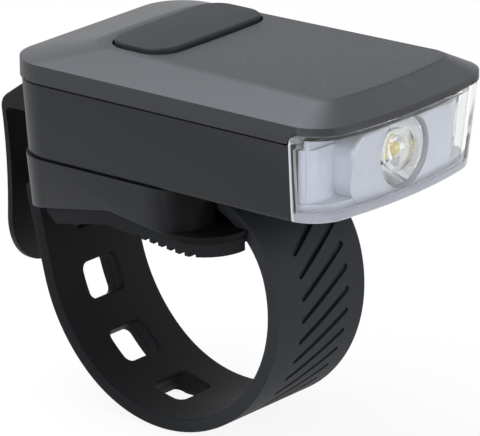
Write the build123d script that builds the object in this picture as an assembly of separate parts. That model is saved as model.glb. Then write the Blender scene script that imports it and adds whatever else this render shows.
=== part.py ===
from build123d import *
import math
import os

# A bicycle headlight on a silicone strap, in millimetres.
# The origin is the middle of the handlebar. +X is the beam, +Y runs along the bar, +Z is up.

# Fits that every piece uses
moving_gap = 0.3
part_gap = 0.1
running_gap = 0.05
overrun = 1.0

# Body: the housing, the lens and the cover share one outline
body_length = 61.8
body_width = 40.0
body_rear_reach = 19.5
housing_underside_z = 23.75
housing_height = 11.9
rim_depth = 2.85
rear_corner_radius = 7.0
front_corner_radius = 6.3
front_bow = 2.3
side_draft = 0.65
front_lean = 1.5
rim_overhang = 0.1
wall = 1.6
housing_edge_radius = 0.8

# Cover
plateau_rise = 2.75
rear_bevel_length = 11.3
front_bevel_length = 4.0
rear_side_bevel = 6.9
front_side_bevel = 5.6
plateau_rear_radius = 5.0
plateau_front_radius = 3.2
plateau_rear_bow = 1.0
plateau_front_bow = 1.2
bevel_wall_drop = 1.1
plateau_ceiling_inset = 0.7
cover_edge_radius = 0.25
front_parting_rise = 1.6

# Power button and its switch
button_hole_length = 12.1
button_hole_side_inset = 7.1
button_hole_rear_inset = 19.25
button_hole_radius = 4.2
button_hole_bow = 0.3
button_gap = 0.35
button_proud = 0.8
button_edge_radius = 0.45
button_travel = 0.4
button_flange_width = 0.3
button_flange_drop = 0.5
button_flange_thickness = 1.0
button_shell = 1.2
button_stem_radius = 2.2
switch_size = 6.0
switch_height = 1.6
switch_plunger_radius = 1.7
switch_plunger_proud = 0.9
switch_floor = 0.4

# Screws: radius of shaft and head, height of head, and what they thread into
m2_radius = 1.0
m2_head_radius = 1.8
m2_head_height = 1.3
socket_share = 0.45
cover_screw_length = 10.0
cover_screw_rear_inset = 5.3
cover_screw_rear_side = 5.8
cover_screw_front_inset = 8.0
cover_screw_front_side = 4.6
cover_post_radius = 2.1
seat_boss_radius = 2.3
seat_boss_height = 2.0

# Main board
board_side_inset = 7.2
board_thickness = 1.0
board_drop = 1.2
board_rear_gap = 2.5
board_front_gap = 9.0
board_corner_radius = 1.0
board_post_radius = 1.6
board_screw_length = 5.0
board_screw_head_height = 0.9
board_rear_post_inset = 1.6
board_rear_post_side = 10.5
board_front_post_inset = 15.0
board_front_post_side = 9.2

# Charging socket in the far wall
socket_rear_inset = 14.5
socket_width = 9.0
socket_height = 3.2
socket_depth = 7.3
socket_wall = 0.3
socket_tongue_width = 6.7
socket_tongue_thickness = 0.7
socket_tongue_setback = 1.4
socket_setback = 0.7
port_block_margin = 1.0
port_block_depth = 2.2

# Flap over the charging socket
plug_length = 15.0
plug_height = 5.2
plug_thickness = 1.0
plug_recess_depth = 1.35
plug_tongue_depth = 2.3
plug_shift = 2.0

# Seals
seal_width = 0.8
seal_groove_depth = 0.7
seal_cross_inset = 0.25
lens_groove_depth = 0.6
lens_seal_width = 0.6
lens_seal_inset = 0.7
lens_seal_radius = 1.5

# Lens
lens_depth = 8.1
lens_wall = 1.25
lens_floor = 1.1
lens_roof = 1.0
lens_rear_roof_drop = 2.65
lens_lip_length = 0.4
lens_lip_slope = 0.2
frame_thickness = 2.2
window_gap = 0.5
window_height = 8.0
window_sill = 2.75

# Bezel behind the lens
bezel_wall = 0.9
bezel_gap = 0.35
bezel_floor_gap = 0.2
bezel_base_depth = 1.9
bezel_corner_radius = 2.6
bezel_ledge_drop = 1.45
bezel_ledge_step = 0.6
bezel_lip_thickness = 1.25
bezel_top_drop = 1.2
boss_width = 23.6
boss_height = 10.6
boss_depth = 3.2
boss_corner_radius = 3.4
boss_edge_radius = 0.6
bore_radius = 5.55
bore_lift = 0.4
bore_slot_width = 2.2
bore_slot_length = 1.3
bore_slot_setback = 0.9
bore_slot_angles = [14, 62]

# Optics behind the bore
reflector_depth = 2.0
reflector_floor = 0.6
reflector_throat_radius = 3.4
reflector_rim = 0.25
reflector_hole_radius = 2.3
optic_radius = 3.25
optic_dome_radius = 2.6
optic_dome_height = 1.5
optic_ring_height = 0.8
emitter_size = 3.0
emitter_height = 0.7
emitter_dome_radius = 1.2
led_board_side_inset = 4.5
led_board_height = 6.6
led_board_thickness = 1.5
led_board_setback = 0.7
led_screw_radius = 0.8
led_screw_head_radius = 1.4
led_screw_head_height = 0.7
led_screw_inset = 3.0
led_screw_length = 3.0
heat_sink_side_inset = 4.2
heat_sink_height = 7.2
heat_sink_thickness = 2.0

# Battery and its leads
cell_rear_inset = 20.1
cell_side_inset = 7.5
cell_thickness = 6.0
cell_edge_radius = 1.5
cell_front_gap = 1.4
foam_thickness = 0.65
lead_radius = 0.45
lead_side = 3.0
lead_reach = 3.0
lead_bend_radius = 2.2
led_lead_side = 2.0
led_lead_land = 2.0
led_lead_drop = 1.8
led_lead_slope_length = 4.0
led_lead_bend_radius = 2.0

# Bracket under the housing
bracket_strap_gap = 3.22
bracket_side_inset = 0.6
bracket_front_x = 19.35
bracket_draft = 0.5
bracket_rear_radius = 6.5
bracket_front_radius = 7.0
vee_apex_depth = 5.25
vee_apex_x = 0.0
vee_apex_radius = 3.0
vee_rear_angle = 10.0
vee_front_angle = 11.7
bracket_toe_depth = 7.45
bracket_wall = 2.4
bracket_core_depth = 3.0
bracket_core_rear_inset = 2.9
bracket_core_front = 8.6
bracket_core_radius = 3.0
bracket_screw_x = -6.0
bracket_screw_y = 7.5
bracket_screw_length = 8.0
bracket_screw_seat_depth = 3.3
bracket_boss_radius = 3.2
housing_boss_radius = 2.2
housing_boss_height = 4.2

# Pad between the bracket and the bar
pad_thickness = 2.4
pad_rear_inset = 6.7
pad_rear_flat = 0.55
pad_rear_chamfer = 1.6
pad_front_x = 19.2
pad_apex_x = -0.8
pad_apex_radius = 4.0
pad_rear_angle = 11.25
pad_front_angle = 6.94
pad_toe_x = 14.4
pad_side_inset = 0.25
pad_rib_pitch = 1.6
pad_rib_depth = 0.4
pad_rib_width = 0.8
pad_rib_start_x = 5.0
pad_rib_count = 7

# Strap: its middle line is a straight run and three bends, one after another
strap_width = 20.8
strap_thickness = 2.05
strap_edge_radius = 0.4
strap_top_x = -22.12
strap_top_z = 12.82
strap_lean = 13.93
strap_tail = 3.15
strap_run = 11.36
strap_rear_bend_radius = 25.7
strap_rear_bend_angle = 35.4
strap_low_bend_radius = 21.0
strap_low_bend_angle = 144.3
strap_front_bend_radius = 15.2
strap_front_bend_angle = 50.0
slot_width = 7.3
slot_length = 5.9
slot_radius = 1.2
slot_pitch = 11.4
slot_first = 2.9
slot_count = 4
groove_depth = 0.5
groove_width = 0.9
groove_count = 10
groove_first = 56.4
groove_pitch = 3.27
groove_angle = 27.3
groove_length = 12.4
groove_side = 0.9
eye_radius = 2.4
pin_radius = 1.25
pin_length = 26.0
pin_pocket_gap = 0.6
pin_roof_gap = 0.3

# Hook at the rear of the bracket that catches the strap's last slot
hook_width = 6.4
hook_arm_thickness = 2.2
hook_neck_height = 3.6
hook_lip_thickness = 1.3
hook_lip_height = 4.4
hook_gap = 0.2

# Belt clip behind the housing
clip_width = 19.0
clip_thickness = 1.05
clip_strap_gap = 5.93
clip_bottom_z = 0.1
clip_top_z = 31.5
clip_shoulder_height = 5.0
clip_belly = 1.0
clip_shoulder_slope_rise = 3.8
clip_shoulder_slope_run = 5.4
clip_inner_radius = 0.8
clip_wall_gap = 0.35
clip_tab_side_inset = 14.0
clip_tab_height = 2.0
clip_tab_depth = 2.0
clip_tab_gap = 0.3
clip_block_margin = 1.3

# Places that follow from the sizes above
half_width = body_width / 2
body_rear = -body_rear_reach
body_front = body_rear + body_length
parting_z = housing_underside_z + housing_height
rim_top_z = parting_z + rim_depth
plateau_z = rim_top_z + plateau_rise
front_parting_z = parting_z + front_parting_rise
lens_top_z = front_parting_z - part_gap / 2
joint_x = body_front - lens_depth
button_hole_x = body_rear + button_hole_rear_inset
button_hole_width = 2 * (half_width - button_hole_side_inset)
floor_z = housing_underside_z + wall
plateau_ceiling_z = plateau_z - wall
board_top_z = parting_z - board_drop
board_under_z = board_top_z - board_thickness
cell_bottom_z = floor_z + foam_thickness
frame_rear_x = joint_x - frame_thickness
led_face_x = joint_x - led_board_setback
heat_sink_front_x = led_face_x - led_board_thickness
heat_sink_rear_x = heat_sink_front_x - heat_sink_thickness
heat_sink_width = 2 * (half_width - heat_sink_side_inset)
led_board_width = 2 * (half_width - led_board_side_inset)
led_screw_y = led_board_width / 2 - led_screw_inset
window_width = led_board_width + 2 * window_gap
board_rear = body_rear + board_rear_gap
board_front = heat_sink_rear_x - board_front_gap
board_width = 2 * (half_width - board_side_inset)
post_low_z = floor_z + seat_boss_height + part_gap
plunger_top_z = board_top_z + switch_height + switch_plunger_proud
socket_x = body_rear + socket_rear_inset
socket_z = board_under_z - socket_height / 2
plug_middle_x = socket_x + plug_shift
plug_hinge_x = plug_middle_x + plug_length / 2 - plug_thickness / 2
frame_window_z = housing_underside_z + window_sill + window_height / 2
bezel_low_z = housing_underside_z + lens_floor + bezel_floor_gap
bezel_ledge_z = parting_z - bezel_ledge_drop
bezel_top_z = lens_top_z - bezel_top_drop
boss_z = bezel_low_z + boss_height / 2
boss_face_x = joint_x + bezel_base_depth + boss_depth
bore_z = boss_z + bore_lift
optic_x = joint_x + part_gap + reflector_floor + running_gap
cell_rear = body_rear + cell_rear_inset
cell_front = heat_sink_rear_x - cell_front_gap
cell_width = 2 * (half_width - cell_side_inset)
bracket_rear_x = strap_top_x + bracket_strap_gap
bracket_core_rear = bracket_rear_x + bracket_core_rear_inset
vee_rear_x = bracket_rear_x - bracket_side_inset
pad_rear_x = bracket_rear_x + pad_rear_inset
clip_outer_x = strap_top_x - clip_strap_gap - clip_thickness
clip_tab_width = 2 * (half_width - clip_tab_side_inset)
clip_tab_z = clip_top_z - clip_shoulder_height / 2
cover_screw_places = [
    (body_rear + cover_screw_rear_inset, half_width - cover_screw_rear_side),
    (body_rear + cover_screw_rear_inset, cover_screw_rear_side - half_width),
    (frame_rear_x - cover_screw_front_inset, half_width - cover_screw_front_side),
    (frame_rear_x - cover_screw_front_inset, cover_screw_front_side - half_width),
]
board_screw_places = [
    (board_rear + board_rear_post_inset, half_width - board_rear_post_side),
    (board_rear + board_rear_post_inset, board_rear_post_side - half_width),
    (board_rear + board_front_post_inset, board_front_post_side - half_width),
]
bracket_screw_places = [(bracket_screw_x, bracket_screw_y), (bracket_screw_x, -bracket_screw_y)]


def housing_half_width(z):
    """Half of the housing's width at a height, as its draft gives it."""
    share = (lens_top_z - z) / (lens_top_z - housing_underside_z)
    return half_width - rim_overhang - side_draft * share


port_face_y = housing_half_width(socket_z - plug_height / 2)
socket_mouth_y = port_face_y - plug_recess_depth - socket_setback
clip_wall_x = body_rear + half_width - housing_half_width(clip_tab_z)
clip_root_x = clip_wall_x - clip_wall_gap
clip_tab_front_x = clip_wall_x + clip_tab_depth


def bowed(start, end, bow):
    """A straight edge, or a shallow arc where the edge bows out to the right of its run."""
    if bow == 0:
        return Line(start, end)
    middle_x = (start[0] + end[0]) / 2
    middle_y = (start[1] + end[1]) / 2
    run = math.hypot(end[0] - start[0], end[1] - start[1])
    across = ((end[1] - start[1]) / run, (start[0] - end[0]) / run)
    return ThreePointArc(start, (middle_x + bow * across[0], middle_y + bow * across[1]), end)


def outline(rear, front, rear_half, front_half, rear_radius, front_radius, rear_bow, front_bow):
    """A plan shape with straight sides, bowed ends and four rounded corners."""
    rear_near = (rear + rear_bow, -rear_half)
    front_near = (front - front_bow, -front_half)
    front_far = (front - front_bow, front_half)
    rear_far = (rear + rear_bow, rear_half)
    edges = [
        Line(rear_near, front_near),
        bowed(front_near, front_far, front_bow),
        Line(front_far, rear_far),
        bowed(rear_far, rear_near, rear_bow),
    ]
    shape = make_face(edges)
    shape = fillet(shape.vertices().group_by(Axis.X)[0], rear_radius)
    return fillet(shape.vertices().sort_by(Axis.X)[-2:], front_radius)


def slab(low, high):
    """A box from its lowest corner to its highest."""
    size = [high[i] - low[i] for i in range(3)]
    middle = [(high[i] + low[i]) / 2 for i in range(3)]
    return Pos(*middle) * Box(*size)


def post(x, y, radius, low, high):
    """An upright cylinder between two heights."""
    return Pos(x, y, (low + high) / 2) * Cylinder(radius, high - low)


def side_profile(points, half):
    """A closed outline in the side view, X and Z, pulled out to both sides by half its width."""
    return extrude(Plane.XZ * make_face(Polyline(*points, close=True)), half, both=True)


def front_block(width, height, radius, z_middle, low_x, high_x):
    """A rounded rectangle seen from the front, pulled out along the beam."""
    face = Plane(origin=(low_x, 0, z_middle), x_dir=(0, 1, 0), z_dir=(1, 0, 0))
    return extrude(face * RectangleRounded(width, height, radius), high_x - low_x)


def screw(radius, head_radius, head_height, length):
    """A socket screw that points up, with its seat at the origin."""
    shaft = Pos(0, 0, length / 2) * Cylinder(radius, length)
    shaft = chamfer(shaft.edges().sort_by(Axis.Z)[-1], radius / 4)
    head = Pos(0, 0, -head_height / 2) * Cylinder(head_radius, head_height)
    head = fillet(head.edges().sort_by(Axis.Z)[0], head_height / 4)
    socket = extrude(RegularPolygon(head_radius * socket_share, 6), head_height / 2)
    socket = Pos(0, 0, -head_height) * socket
    return shaft + head - socket


def rim_outline(inset):
    """The outline of the cover's rim, drawn in by an inset."""
    half = half_width - inset
    return outline(
        body_rear + inset, body_front - inset, half, half,
        rear_corner_radius - inset, front_corner_radius - inset, 0, front_bow,
    )


def plateau_outline(inset):
    """The outline of the raised top, drawn in by an inset."""
    return outline(
        body_rear + rear_bevel_length + inset, body_front - front_bevel_length - inset,
        half_width - rear_side_bevel - inset, half_width - front_side_bevel - inset,
        plateau_rear_radius - inset, plateau_front_radius - inset, plateau_rear_bow, plateau_front_bow,
    )


def body_envelope(inset):
    """The drafted block that holds the housing and the lens, drawn in by an inset."""
    top_inset = inset + rim_overhang
    low_inset = inset + rim_overhang + side_draft
    top = outline(
        body_rear + top_inset, body_front - top_inset, half_width - top_inset, half_width - top_inset,
        rear_corner_radius - inset, front_corner_radius - inset, 0, front_bow,
    )
    low = outline(
        body_rear + low_inset, body_front - front_lean - top_inset, half_width - low_inset,
        half_width - low_inset, rear_corner_radius - inset, front_corner_radius - inset, 0, front_bow,
    )
    return loft([Pos(0, 0, housing_underside_z) * low, Pos(0, 0, lens_top_z) * top], ruled=True)


def below_parting(shift):
    """All that lies under the cover: the parting line steps up over the lens in a quarter round."""
    low = housing_underside_z - overrun
    base = parting_z + shift
    top = front_parting_z + shift
    corner_x = joint_x - shift
    far_x = body_front + overrun
    near_x = body_rear - overrun
    edges = [
        Line((near_x, low), (near_x, base)),
        Line((near_x, base), (corner_x, base)),
        RadiusArc((corner_x, base), (corner_x + front_parting_rise, top), front_parting_rise),
        Line((corner_x + front_parting_rise, top), (far_x, top)),
        Line((far_x, top), (far_x, low)),
        Line((far_x, low), (near_x, low)),
    ]
    return extrude(Plane.XZ * make_face(edges), half_width + overrun, both=True)


def make_top_cover():
    rim = extrude(Pos(0, 0, parting_z) * rim_outline(0), rim_depth)
    crown = loft(
        [Pos(0, 0, rim_top_z) * rim_outline(0), Pos(0, 0, plateau_z) * plateau_outline(0)], ruled=True,
    )
    crown = fillet(crown.edges().group_by(Axis.Z)[-1], cover_edge_radius)
    shell = rim + crown
    inner_z = rim_top_z - bevel_wall_drop
    hollow = extrude(Pos(0, 0, parting_z - overrun) * rim_outline(wall), inner_z - parting_z + overrun)
    hollow += loft(
        [Pos(0, 0, inner_z) * rim_outline(wall),
         Pos(0, 0, plateau_ceiling_z) * plateau_outline(plateau_ceiling_inset)],
        ruled=True,
    )
    shell -= hollow
    for x, y in cover_screw_places:
        shell += post(x, y, cover_post_radius, post_low_z, rim_top_z + moving_gap)
        shell -= post(x, y, m2_radius + running_gap, post_low_z - overrun, rim_top_z - cover_post_radius)
    shell -= below_parting(part_gap / 2)
    for x, y in cover_screw_places:
        shell += post(x, y, cover_post_radius, post_low_z, parting_z + wall)
        shell -= post(x, y, m2_radius + running_gap, post_low_z - overrun, rim_top_z - cover_post_radius)
    hole = extrude(Pos(0, 0, plateau_ceiling_z - overrun) * button_outline(0), wall + 2 * overrun)
    return shell - hole


def button_outline(inset):
    """The hole for the power button, drawn in by an inset."""
    half_x = button_hole_length / 2 - inset
    half_y = button_hole_width / 2 - inset
    radius = button_hole_radius - inset
    return outline(
        button_hole_x - half_x, button_hole_x + half_x, half_y, half_y, radius, radius,
        button_hole_bow, button_hole_bow,
    )


def make_power_button():
    top_z = plateau_z + button_proud
    flange_top = plateau_ceiling_z - button_flange_drop
    flange_low = flange_top - button_flange_thickness
    pad = extrude(Pos(0, 0, flange_low) * button_outline(button_gap), top_z - flange_low)
    pad = fillet(pad.edges().group_by(Axis.Z)[-1], button_edge_radius)
    flange = extrude(Pos(0, 0, flange_low) * button_outline(-button_flange_width), button_flange_thickness)
    inner = button_outline(button_gap + button_shell)
    hollow = extrude(Pos(0, 0, flange_low - overrun) * inner, top_z - flange_low + overrun - button_shell)
    stem = post(button_hole_x, 0, button_stem_radius, plunger_top_z, top_z - button_shell / 2)
    return pad + flange - hollow + stem


def make_tact_switch():
    body = slab(
        (button_hole_x - switch_size / 2, -switch_size / 2, board_top_z),
        (button_hole_x + switch_size / 2, switch_size / 2, board_top_z + switch_height),
    )
    body = chamfer(body.edges().filter_by(Axis.Z), switch_size / 10)
    hole = post(
        button_hole_x, 0, switch_plunger_radius + running_gap,
        board_top_z + switch_floor, board_top_z + switch_height + overrun,
    )
    return body - hole


def make_switch_plunger():
    low = board_top_z + switch_floor + button_travel + running_gap
    plunger = post(button_hole_x, 0, switch_plunger_radius, low, plunger_top_z)
    return chamfer(plunger.edges().group_by(Axis.Z)[-1], switch_plunger_radius / 8)


def make_main_board():
    half = board_width / 2
    board = outline(
        board_rear, board_front, half, half, board_corner_radius, board_corner_radius, 0, 0,
    )
    board = extrude(Pos(0, 0, board_under_z) * board, board_thickness)
    tab_half = socket_width / 2 + wall
    board += slab(
        (socket_x - tab_half, 0, board_under_z),
        (socket_x + tab_half, port_face_y - wall - port_block_depth - moving_gap, board_top_z),
    )
    for x, y in cover_screw_places:
        board -= post(x, y, cover_post_radius + moving_gap, board_under_z - overrun, board_top_z + overrun)
    for x, y in board_screw_places:
        board -= post(x, y, m2_radius + running_gap, board_under_z - overrun, board_top_z + overrun)
    return board


def make_usb_socket():
    mouth = Plane(origin=(socket_x, socket_mouth_y, socket_z), x_dir=(1, 0, 0), z_dir=(0, 1, 0))
    radius = socket_height / 2 - running_gap
    shell = extrude(mouth * RectangleRounded(socket_width, socket_height, radius), -socket_depth)
    inner = RectangleRounded(
        socket_width - 2 * socket_wall, socket_height - 2 * socket_wall, radius - socket_wall,
    )
    shell -= extrude(mouth * inner, socket_wall - socket_depth) + extrude(mouth * inner, overrun)
    tongue = extrude(mouth * Rectangle(socket_tongue_width, socket_tongue_thickness), -socket_depth)
    ahead = slab(
        (socket_x - socket_width, socket_mouth_y - socket_tongue_setback, socket_z - socket_height),
        (socket_x + socket_width, socket_mouth_y + overrun, socket_z + socket_height),
    )
    return shell + (tongue - ahead)


def port_plane(y):
    """The far wall's plane at the socket, looking out of the wall, with X to the left."""
    return Plane(origin=(plug_middle_x, y, socket_z), x_dir=(1, 0, 0), z_dir=(0, 1, 0))


def make_port_plug():
    back_y = port_face_y - plug_thickness
    radius = plug_height / 2 - running_gap
    leaf = extrude(port_plane(back_y) * RectangleRounded(plug_length, plug_height, radius), plug_thickness)
    leaf = fillet(leaf.edges().group_by(Axis.Y)[-1], plug_thickness / 4)
    hinge_side = slab(
        (plug_hinge_x, back_y - overrun, socket_z - plug_height),
        (plug_hinge_x + plug_length, port_face_y + overrun, socket_z + plug_height),
    )
    knuckle_z = plug_height / 2 - plug_thickness
    knuckle = post(
        plug_hinge_x, port_face_y - plug_thickness / 2, plug_thickness / 2,
        socket_z - knuckle_z, socket_z + knuckle_z,
    )
    tongue_width = socket_width - 2 * socket_wall - 2 * moving_gap
    tongue_height = socket_height - 2 * socket_wall - moving_gap
    tongue_place = Plane(origin=(socket_x, back_y, socket_z), x_dir=(1, 0, 0), z_dir=(0, 1, 0))
    tongue = extrude(
        tongue_place * RectangleRounded(tongue_width, tongue_height, tongue_height / 2 - running_gap),
        -plug_tongue_depth,
    )
    return leaf - hinge_side + knuckle + tongue


def make_main_housing():
    shell = body_envelope(0) & below_parting(-part_gap / 2)
    shell = fillet(shell.edges().group_by(Axis.Z)[0], housing_edge_radius)
    shell &= slab(
        (body_rear - overrun, -body_width, housing_underside_z - overrun),
        (joint_x, body_width, lens_top_z),
    )
    room = body_envelope(wall) & slab(
        (body_rear, -body_width, floor_z), (frame_rear_x, body_width, lens_top_z),
    )
    room += extrude(Pos(0, 0, parting_z - overrun) * rim_outline(wall + rim_overhang), overrun) & slab(
        (body_rear, -body_width, floor_z), (frame_rear_x, body_width, lens_top_z),
    )
    shell -= room
    shell -= front_block(
        window_width, window_height, lens_seal_radius, frame_window_z,
        frame_rear_x - overrun, joint_x + overrun,
    )
    for x, y in cover_screw_places:
        shell += post(x, y, seat_boss_radius, floor_z - wall / 2, floor_z + seat_boss_height)
        shell -= post(x, y, m2_radius + part_gap, housing_underside_z, floor_z + seat_boss_height + overrun)
        shell -= post(x, y, m2_head_radius + part_gap, housing_underside_z - overrun, floor_z)
    for x, y in board_screw_places:
        shell += post(x, y, board_post_radius, floor_z - wall / 2, board_under_z)
        hole_low = board_top_z - board_screw_length - wall
        shell -= post(x, y, m2_radius + running_gap, hole_low, board_under_z + overrun)
    for x, y in bracket_screw_places:
        shell += post(x, y, housing_boss_radius, floor_z - wall / 2, floor_z + housing_boss_height)
        shell -= post(
            x, y, m2_radius + running_gap, housing_underside_z - overrun,
            floor_z + housing_boss_height - wall / 2,
        )
    shell += port_block() & body_envelope(0)
    shell -= port_cut()
    shell += clip_tab_room(body_rear, clip_tab_gap + clip_block_margin) & body_envelope(0)
    shell -= clip_tab_room(body_rear - overrun, clip_tab_gap)
    shell -= seal_ring(seal_width + 2 * running_gap, parting_z - seal_groove_depth, parting_z + overrun)
    return shell - lens_seal_ring(joint_x - lens_groove_depth, joint_x + overrun)


def port_block():
    """The thick patch inside the far wall that the socket's mouth comes through."""
    half = plug_length / 2 + moving_gap + port_block_margin
    return slab(
        (plug_middle_x - half, port_face_y - wall - port_block_depth, socket_z - socket_height - wall),
        (plug_middle_x + half, half_width + overrun, parting_z - seal_groove_depth - wall / 2),
    )


def port_cut():
    """The recess for the flap, and the opening that the socket looks through."""
    floor_y = port_face_y - plug_recess_depth
    length = plug_length + 2 * moving_gap
    height = plug_height + 2 * moving_gap
    recess = extrude(
        port_plane(floor_y) * RectangleRounded(length, height, plug_height / 2),
        plug_recess_depth + overrun,
    )
    # The end at the hinge is square, so that the flap's rounded shoulders swing clear of it
    recess += slab(
        (plug_hinge_x - plug_thickness / 2, floor_y, socket_z - height / 2),
        (plug_middle_x + length / 2, port_face_y + overrun, socket_z + height / 2),
    )
    mouth = Plane(origin=(socket_x, floor_y + overrun / 2, socket_z), x_dir=(1, 0, 0), z_dir=(0, 1, 0))
    opening = RectangleRounded(
        socket_width + 2 * moving_gap, socket_height + 2 * moving_gap, socket_height / 2,
    )
    return recess + extrude(mouth * opening, -port_block_depth - wall - overrun)


def seal_ring(width, low, high):
    """A ring along the top edge of the housing's wall, open where the lens frame starts."""
    middle = wall / 2 + rim_overhang
    outer = extrude(Pos(0, 0, low) * rim_outline(middle - width / 2), high - low)
    inner = extrude(Pos(0, 0, low - overrun) * rim_outline(middle + width / 2), high - low + 2 * overrun)
    cross_low = frame_rear_x + seal_cross_inset + (seal_width - width) / 2
    behind = slab(
        (body_rear - overrun, -body_width, low - overrun), (cross_low + width, body_width, high + overrun),
    )
    cross = slab(
        (cross_low, -half_width + middle, low), (cross_low + width, half_width - middle, high),
    )
    return ((outer - inner) & behind) + cross


def make_cover_seal():
    return seal_ring(seal_width, parting_z - seal_groove_depth, parting_z + part_gap / 2)


def lens_seal_ring(low_x, high_x):
    """A rounded rectangular ring round the front of the housing."""
    low_z = housing_underside_z + lens_seal_inset
    high_z = parting_z - part_gap / 2 - lens_seal_inset / 2
    width = 2 * (housing_half_width(high_z) - lens_seal_inset)
    middle = (low_z + high_z) / 2
    height = high_z - low_z
    outer = front_block(width, height, lens_seal_radius, middle, low_x, high_x)
    inner = front_block(
        width - 2 * lens_seal_width, height - 2 * lens_seal_width, lens_seal_radius - lens_seal_width,
        middle, low_x - overrun, high_x + overrun,
    )
    return outer - inner


def lens_room(inset):
    """The space inside the lens, drawn in by an inset. Its rear lip hangs down to meet the seal."""
    rear = joint_x - overrun
    low = housing_underside_z + lens_floor + inset
    step = front_parting_z - lens_rear_roof_drop - inset
    top = lens_top_z - lens_roof - inset
    lip_x = joint_x + lens_lip_length + inset
    points = [
        (rear, low), (rear, step), (lip_x, step), (lip_x + lens_lip_slope, top),
        (body_front, top), (body_front, low),
    ]
    return body_envelope(lens_wall + inset) & side_profile(points, half_width)


def make_front_lens():
    shell = body_envelope(0) & below_parting(-part_gap / 2)
    shell = fillet(shell.edges().group_by(Axis.Z)[0], housing_edge_radius)
    shell &= slab(
        (joint_x, -body_width, housing_underside_z - overrun),
        (body_front + overrun, body_width, lens_top_z + overrun),
    )
    return shell - lens_room(0)


def make_lens_bezel():
    low = bezel_low_z
    base_x = joint_x + bezel_base_depth
    half = half_width - rim_overhang - side_draft - lens_wall - bezel_gap
    tub = outline(
        joint_x - bezel_corner_radius, base_x, half, half,
        bezel_corner_radius / 2, bezel_corner_radius, 0, 0,
    )
    ahead = slab(
        (joint_x + running_gap, -body_width, low - overrun), (body_front, body_width, lens_top_z),
    )
    tub = (extrude(Pos(0, 0, low) * tub, bezel_ledge_z - low)) & ahead
    lip = body_envelope(lens_wall + bezel_gap) & slab(
        (joint_x + running_gap, -body_width, low), (body_front, body_width, low + bezel_lip_thickness),
    )
    boss = front_block(
        boss_width, boss_height, boss_corner_radius, boss_z, joint_x + running_gap, boss_face_x,
    )
    boss = fillet(boss.edges().group_by(Axis.X)[-1], boss_edge_radius)
    upper_half = half - bezel_ledge_step
    upper = slab(
        (joint_x + running_gap, -upper_half, low), (base_x - bezel_ledge_step, upper_half, bezel_top_z),
    )
    body = (tub + upper + boss + lip) & lens_room(bezel_floor_gap)
    inner_low = low + bezel_lip_thickness + bezel_wall
    body -= slab(
        (joint_x - overrun, -half + bezel_wall, inner_low),
        (base_x - bezel_wall, half - bezel_wall, bezel_ledge_z - bezel_wall),
    )
    body -= front_block(
        boss_width - 2 * bezel_wall, boss_height - 2 * bezel_wall, boss_corner_radius - bezel_wall,
        boss_z, joint_x, boss_face_x - bezel_wall,
    )
    bore = beam_plane(joint_x + running_gap)
    sleeve_depth = boss_face_x - joint_x - running_gap - bezel_wall / 2
    sleeve = extrude(bore * Circle(bore_radius + bezel_wall), sleeve_depth)
    body += sleeve & (boss + tub) & lens_room(bezel_floor_gap)
    body -= extrude(bore * Circle(bore_radius), lens_depth)
    for angle in bore_slot_angles:
        middle = beam_plane(boss_face_x - bore_slot_setback - bore_slot_length / 2)
        notch = middle * Rot(0, 0, angle) * Pos(bore_radius, 0, 0)
        body -= notch * Box(bezel_wall, bore_slot_width, bore_slot_length)
    return body


def beam_plane(x):
    """A plane across the beam at the middle of the bore."""
    return Plane(origin=(x, 0, bore_z), x_dir=(0, 1, 0), z_dir=(1, 0, 0))


def turned_about_beam(profile, x):
    """A half outline of radius and reach, turned about the bore's middle line."""
    return Pos(x, 0, bore_z) * Rot(0, 90, 0) * revolve(Plane.XZ * profile, Axis.Z)


def make_reflector_cup():
    outer = bore_radius - running_gap
    mouth = reflector_floor + reflector_depth
    profile = make_face(Polyline(
        (reflector_hole_radius, 0), (outer, 0), (outer, mouth), (outer - reflector_rim, mouth),
        (reflector_throat_radius, reflector_floor), (reflector_hole_radius, reflector_floor), close=True,
    ))
    return turned_about_beam(profile, joint_x + part_gap) & lens_room(bezel_floor_gap)


def beam_dome(radius, middle_x, cut_x):
    """The part of a ball on the bore's middle line that lies ahead of a cut."""
    ball = Pos(middle_x, 0, bore_z) * Rot(0, 90, 0) * Sphere(radius)
    return ball & slab(
        (cut_x, -body_width, bore_z - body_width), (cut_x + body_width, body_width, bore_z + body_width),
    )


def make_led_optic():
    ring = extrude(beam_plane(optic_x) * Circle(optic_radius), optic_ring_height)
    ball_radius = (optic_dome_radius ** 2 + optic_dome_height ** 2) / (2 * optic_dome_height)
    dome_x = optic_x + optic_ring_height
    dome = beam_dome(ball_radius, dome_x + optic_dome_height - ball_radius, dome_x)
    pocket = beam_dome(emitter_dome_radius + running_gap, led_face_x + emitter_height, led_face_x)
    return ring + dome - pocket


def make_led_emitter():
    base = beam_plane(led_face_x) * extrude(Rectangle(emitter_size, emitter_size), emitter_height)
    dome_x = led_face_x + emitter_height
    return base + beam_dome(emitter_dome_radius, dome_x, dome_x)


def make_led_board():
    board = front_block(
        led_board_width, led_board_height, board_corner_radius, bore_z, heat_sink_front_x, led_face_x,
    )
    return board - led_screw_holes()


def led_screw_holes():
    """The two holes that go through the LED board and its plate."""
    holes = Part()
    for y in (-led_screw_y, led_screw_y):
        place = beam_plane(led_face_x) * Pos(y, 0, 0)
        hole = place * Circle(led_screw_radius + running_gap)
        holes += extrude(hole, led_screw_length + overrun, both=True)
    return holes


def make_heat_sink():
    plate = front_block(
        heat_sink_width, heat_sink_height, board_corner_radius,
        floor_z + part_gap + heat_sink_height / 2, heat_sink_rear_x, heat_sink_front_x,
    )
    return plate - led_screw_holes()


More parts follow.
